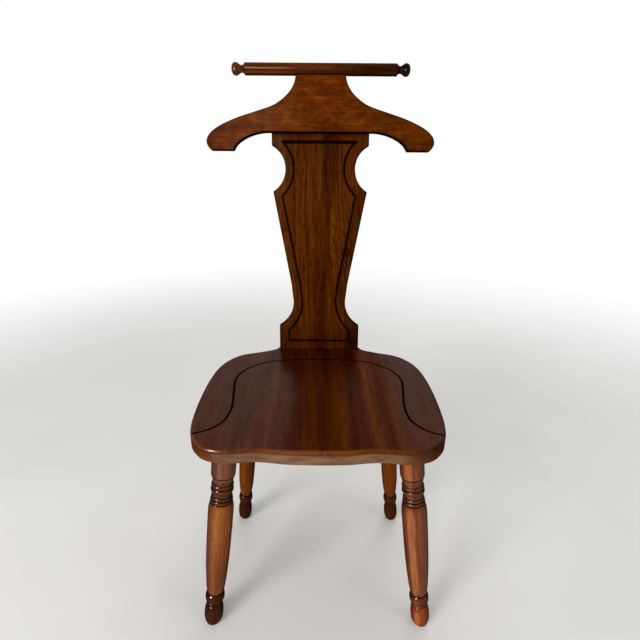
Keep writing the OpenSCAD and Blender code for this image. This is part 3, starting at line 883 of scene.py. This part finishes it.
# A face belongs to a board's flat side within these limits
SAME_DIRECTION = 0.999
SAME_DEPTH = 0.02 * MM
# How much the large faces lead in the shading, of 100
FLAT_WEIGHT = 50
# Front and rear side of each board, as distances before and behind the slab's front
BOARD_SIDES = {"back_slab": (0, SLAB_THICK), "hanger_board": (HANGER_THICK, 0)}
# How the names of the turned pieces start, which have no large flat faces
TURNED = ("front_leg", "rear_leg", "finial")


def shading_group(limit):
    """Geometry nodes: smooth faces, sharp where neighbours meet at more than limit."""
    group = bpy.data.node_groups.new("smooth_by_angle", "GeometryNodeTree")
    group.is_modifier = True
    for in_out in ("INPUT", "OUTPUT"):
        group.interface.new_socket("Geometry", in_out=in_out,
                                   socket_type="NodeSocketGeometry")
    g = Graph(group)
    start = g.node("NodeGroupInput").outputs[0]
    # Normals stored in the CAD mesh would take the place of this shading
    plain = g.node("GeometryNodeRemoveAttribute", {"Geometry": start,
                                                   "Name": "custom_normal"})
    angle = g.node("GeometryNodeInputMeshEdgeAngle").outputs["Unsigned Angle"]
    gentle = g.node("FunctionNodeCompare", {0: angle, 1: limit}, operation="LESS_THAN",
                    data_type="FLOAT")
    edges = g.node("GeometryNodeSetShadeSmooth",
                   {"Geometry": plain.outputs[0], "Shade Smooth": gentle.outputs[0]},
                   domain="EDGE")
    faces = g.node("GeometryNodeSetShadeSmooth", {"Geometry": edges.outputs[0]},
                   domain="FACE")
    g.node("NodeGroupOutput", {"Geometry": faces.outputs[0]})
    return group


def edge_ends(mesh, pair):
    """An edge as the set of its two end points, rounded to a micrometre."""
    return frozenset(tuple(round(c, 6) for c in mesh.vertices[i].co) for i in pair)


def widest_loop(edges):
    """The edges of the largest of the loops that they form."""
    loops = []
    for ends in edges:
        touching = [loop for loop in loops if loop["points"] & ends]
        merged = {"points": set(ends), "edges": [ends]}
        for loop in touching:
            merged["points"] |= loop["points"]
            merged["edges"] += loop["edges"]
            loops.remove(loop)
        loops.append(merged)

    def spread(loop):
        xs = [p[0] for p in loop["points"]]
        zs = [p[2] for p in loop["points"]]
        return max(xs) - min(xs) + max(zs) - min(zs)
    return set(max(loops, key=spread)["edges"]) if loops else set()


def face_rim(mesh, normal, depth):
    """Outer edges of the flat side that looks along normal at that depth."""
    used = {}
    for face in mesh.polygons:
        face_depth = mesh.vertices[face.vertices[0]].co.dot(normal)
        if face.normal.dot(normal) > SAME_DIRECTION and abs(face_depth - depth) < SAME_DEPTH:
            for pair in face.edge_keys:
                ends = edge_ends(mesh, pair)
                used[ends] = used.get(ends, 0) + 1
    return widest_loop([ends for ends, count in used.items()
                        if count == 1 and len(ends) == 2])


def soften(obj, edges, radius):
    """Rounds the listed edges of a CAD node with a bevel."""
    mesh = obj.data
    weights = mesh.attributes.new("bevel_weight_edge", "FLOAT", "EDGE")
    for edge in mesh.edges:
        if edge_ends(mesh, edge.vertices) in edges:
            weights.data[edge.index].value = 1.0
    bevel = obj.modifiers.new("soft_edges", "BEVEL")
    bevel.limit_method = "WEIGHT"
    bevel.width = radius
    bevel.segments = RIM_SEGMENTS
    bevel.use_clamp_overlap = False
    bevel.miter_outer = "MITER_ARC"


def weld(obj):
    """Joins the faces of a CAD node, so that neither bevel nor shading splits them."""
    join = obj.modifiers.new("join_faces", "WELD")
    join.merge_threshold = WELD_REACH


def smooth(obj, group, keep_flat):
    """Shades a node smoothly, and its large faces flat where keep_flat is true."""
    shade = obj.modifiers.new("smooth_shading", "NODES")
    shade.node_group = group
    if keep_flat:
        level = obj.modifiers.new("flat_faces", "WEIGHTED_NORMAL")
        level.mode = "FACE_AREA"
        level.weight = FLAT_WEIGHT
        level.keep_sharp = True


smooth_by_angle = shading_group(SHARP_ANGLE)
for name, obj in nodes.items():
    weld(obj)
    if name in BOARD_SIDES:
        before, behind = BOARD_SIDES[name]
        front_rim = face_rim(obj.data, SLAB_FRONT, SLAB_FOOT.dot(SLAB_FRONT) + before)
        rear_rim = face_rim(obj.data, SLAB_BACK, SLAB_FOOT.dot(SLAB_BACK) + behind)
        rims = front_rim | rear_rim
        on_seat = {ends for ends in rims if all(p[2] < SEAT_TOP + MM for p in ends)}
        soften(obj, rims - on_seat, RIM_RADIUS)
    smooth(obj, smooth_by_angle, keep_flat=not name.startswith(TURNED))


# ---------- materials on the pieces ----------

SEAT_BOARDS = ["seat_board_left", "seat_board_left_inner", "seat_board_middle",
               "seat_board_right_inner", "seat_board_right"]
ALONG_X = (1, 0, 0)
ALONG_Y = (0, 1, 0)
# Each piece's seed, so that no two show the same noise; all seat boards share one
# grain, and so do the two hidden joints
SEAT_SEED = 3
SLAB_SEED = 7
HANGER_SEED = 9
FIRST_BAR_SEED = 11
FIRST_LEG_SEED = 17
JOINT_SEED = 23


def dress(name, material):
    """Gives a node the material as its only one."""
    slots = nodes[name].data.materials
    slots.clear()
    slots.append(material)


for name in SEAT_BOARDS:
    dress(name, wood(name + "_wood", SEAT, (0, SEAT_FRONT, SEAT_TOP), ALONG_Y, SEAT_SEED,
                     pith=(0.05, -0.11), groove=seat_groove, extra=seat_marks,
                     wear=seat_wear, thick=thick_corner))
dress("back_slab", wood("back_slab_wood", BACK, SLAB_FOOT, SLAB_UP, SLAB_SEED,
                        pith=(0.01, 0.10), groove=slab_groove, extra=slab_marks,
                        wear=rim_wear))
dress("hanger_board", wood("hanger_wood", HANGER, SLAB_FOOT + HANGER_UP * SLAB_UP,
                           ALONG_X, HANGER_SEED, pith=(0.02, -0.08),
                           extra=hanger_marks, wear=rim_wear))
BAR_PIECES = [("trouser_bar", BAR, bar_marks, bar_wear), ("finial_left", KNOB, None, None),
              ("finial_right", SHADED_KNOB, None, None)]
for number, (name, kind, marks, wear) in enumerate(BAR_PIECES):
    low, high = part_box(name)
    dress(name, wood(name + "_wood", kind, (low + high) / 2, ALONG_X,
                     FIRST_BAR_SEED + number, pith=(0.0, -0.05), extra=marks, wear=wear))
for number, leg in enumerate(LEGS):
    foot, up = leg_axis(leg.axis, leg.side)
    dress(leg.name, wood(leg.name + "_wood", leg.kind, foot, up, FIRST_LEG_SEED + number,
                         pith=(0.02, -0.05), extra=leg_marks(leg), wear=leg_wear))
for name in ("slab_tenon_wedges", "bar_dowels"):
    dress(name, wood(name + "_wood", PALE, SLAB_FOOT, SLAB_UP, JOINT_SEED))
dress("hanger_screws", steel("screw_steel"))


# ---------- floor, light and camera ----------

WHITE = (1, 1, 1, 1)
FLOOR_RADIUS = 2.8
# The floor shows its own colour up to here and then fades to white
PLAIN_RADIUS = 1.0
# Degrees between the corners of its rim
FLOOR_STEP = 5
# How bright the world is to gloss before the chair, and to matt surfaces all round
DARK_ROOM = 0.02
SOFT_LIGHT = 0.46
# What the lamps look at
CHAIR_MIDDLE = (0, 0, 0.55)
HANGER_BOARD = (0, 0, 1.0)
FRONT_BEADS = (0, -0.1, 0.3)


def floor_material():
    """Pale and matt near the chair, fading to plain white for the camera far off."""
    material, g = new_material("pale_floor")
    place = g.place()
    cloud = g.noise(place, 3.0, detail=3.0)
    pale = g.ramp(cloud, [(0.2, srgb(226, 225, 222)), (0.8, srgb(232, 231, 229))])
    matt = g.node("ShaderNodeBsdfDiffuse", {"Color": pale})
    white = g.node("ShaderNodeEmission", {"Color": WHITE, "Strength": 1.0})
    far = g.between(g.vector("LENGTH", place), PLAIN_RADIUS, FLOOR_RADIUS)
    seen = g.node("ShaderNodeLightPath").outputs["Is Camera Ray"]
    ground = g.node("ShaderNodeMixShader", {0: g.times(far, seen), 1: matt.outputs[0],
                                            2: white.outputs[0]})
    g.node("ShaderNodeOutputMaterial", {"Surface": ground.outputs[0]})
    return material


def build_floor():
    """A level disc under the chair."""
    mesh = bpy.data.meshes.new("floor")
    turns = [math.radians(a) for a in range(0, 360, FLOOR_STEP)]
    rim = [(FLOOR_RADIUS * math.cos(a), FLOOR_RADIUS * math.sin(a), 0) for a in turns]
    mesh.from_pydata(rim, [], [range(len(rim))])
    mesh.materials.append(floor_material())
    floor = bpy.data.objects.new("floor", mesh)
    bpy.context.scene.collection.objects.link(floor)
    return floor


def build_world():
    """White to the camera and through glass; gloss sees that white behind the chair
    and a dark room before it; everything else gets a plain soft level."""
    world = bpy.data.worlds.new("studio")
    world.use_nodes = True
    bpy.context.scene.world = world
    g = Graph(world.node_tree)
    path = g.node("ShaderNodeLightPath").outputs
    gloss = path["Is Glossy Ray"]
    _, ahead, _ = g.split(g.node("ShaderNodeTexCoord").outputs["Generated"])
    studio = g.between(ahead, -0.25, 0.60, DARK_ROOM, 1.0)
    level = g.plus(g.times(gloss, studio), g.times(g.minus(1.0, gloss), SOFT_LIGHT))
    shown = g.larger(path["Is Camera Ray"], path["Is Transmission Ray"])
    level = g.plus(g.times(level, g.minus(1.0, shown)), shown)
    sky = g.node("ShaderNodeBackground", {"Color": WHITE, "Strength": level})
    g.node("ShaderNodeOutputWorld", {"Surface": sky.outputs[0]})


def lamp(name, place, aim, size, watts, tint=(1, 1, 1)):
    """A rectangular lamp of size = (width, height) that looks at aim."""
    data = bpy.data.lights.new(name, "AREA")
    data.shape = "RECTANGLE"
    data.size, data.size_y = size
    data.energy = watts
    data.color = tint
    obj = bpy.data.objects.new(name, data)
    obj.location = place
    obj.rotation_euler = (Vector(aim) - Vector(place)).to_track_quat("-Z", "Y").to_euler()
    bpy.context.scene.collection.objects.link(obj)
    return obj


def build_lamps():
    """Soft light from the front left, and less from the right, above and behind."""
    lamp("key", (-2.1, -2.3, 1.75), aim=CHAIR_MIDDLE, size=(1.3, 1.3), watts=60,
         tint=(1.0, 0.985, 0.96))
    lamp("window", (-0.72, -3.3, 1.95), aim=HANGER_BOARD, size=(0.74, 1.3), watts=17,
         tint=(1.0, 0.86, 0.66))
    # Only gloss sees this one, for the small highlights on the turnings
    glint = lamp("glint", (-1.45, -1.75, 0.92), aim=FRONT_BEADS, size=(0.3, 0.9),
                 watts=130)
    glint.visible_diffuse = False
    lamp("fill", (2.3, -1.5, 1.5), aim=CHAIR_MIDDLE, size=(1.2, 1.6), watts=10)
    lamp("top", (0.3, 0.9, 3.0), aim=CHAIR_MIDDLE, size=(1.8, 1.8), watts=14)
    # This one lights the unseen side and isn't mirrored in the seat
    back = lamp("back", (1.2, 2.6, 1.5), aim=CHAIR_MIDDLE, size=(1.4, 1.4), watts=16)
    back.visible_glossy = False


# The photograph's view: sizes in its pixels, and where it was taken from
PICTURE_WIDTH = 640
FOCAL_LENGTH = 444
CAMERA_TILT = math.radians(21)
CAMERA_ROLL = math.radians(0.42)
CAMERA_X = 1.9 * MM
CAMERA_BEFORE_SEAT = 577 * MM
CAMERA_ABOVE_SEAT = 445 * MM
SENSOR_WIDTH = 36
CLIP_START = 0.05
CLIP_END = 60


def build_camera():
    """A camera at the photograph's place."""
    ahead = Vector((0, math.cos(CAMERA_TILT), -math.sin(CAMERA_TILT)))
    up = Vector((0, math.sin(CAMERA_TILT), math.cos(CAMERA_TILT)))
    right = Vector((1, 0, 0))
    rolled_right = right * math.cos(CAMERA_ROLL) + up * math.sin(CAMERA_ROLL)
    rolled_up = up * math.cos(CAMERA_ROLL) - right * math.sin(CAMERA_ROLL)
    data = bpy.data.cameras.new("camera")
    data.sensor_width = SENSOR_WIDTH
    data.lens = SENSOR_WIDTH * FOCAL_LENGTH / PICTURE_WIDTH
    data.clip_start = CLIP_START
    data.clip_end = CLIP_END
    camera = bpy.data.objects.new("camera", data)
    place = Matrix.Translation((CAMERA_X, SEAT_FRONT - CAMERA_BEFORE_SEAT,
                                SEAT_TOP + CAMERA_ABOVE_SEAT))
    camera.matrix_world = place @ Matrix(
        (rolled_right, rolled_up, -ahead)).transposed().to_4x4()
    bpy.context.scene.collection.objects.link(camera)
    bpy.context.scene.camera = camera


floor = build_floor()
build_world()
build_lamps()
build_camera()
bpy.context.scene.view_settings.view_transform = "Standard"
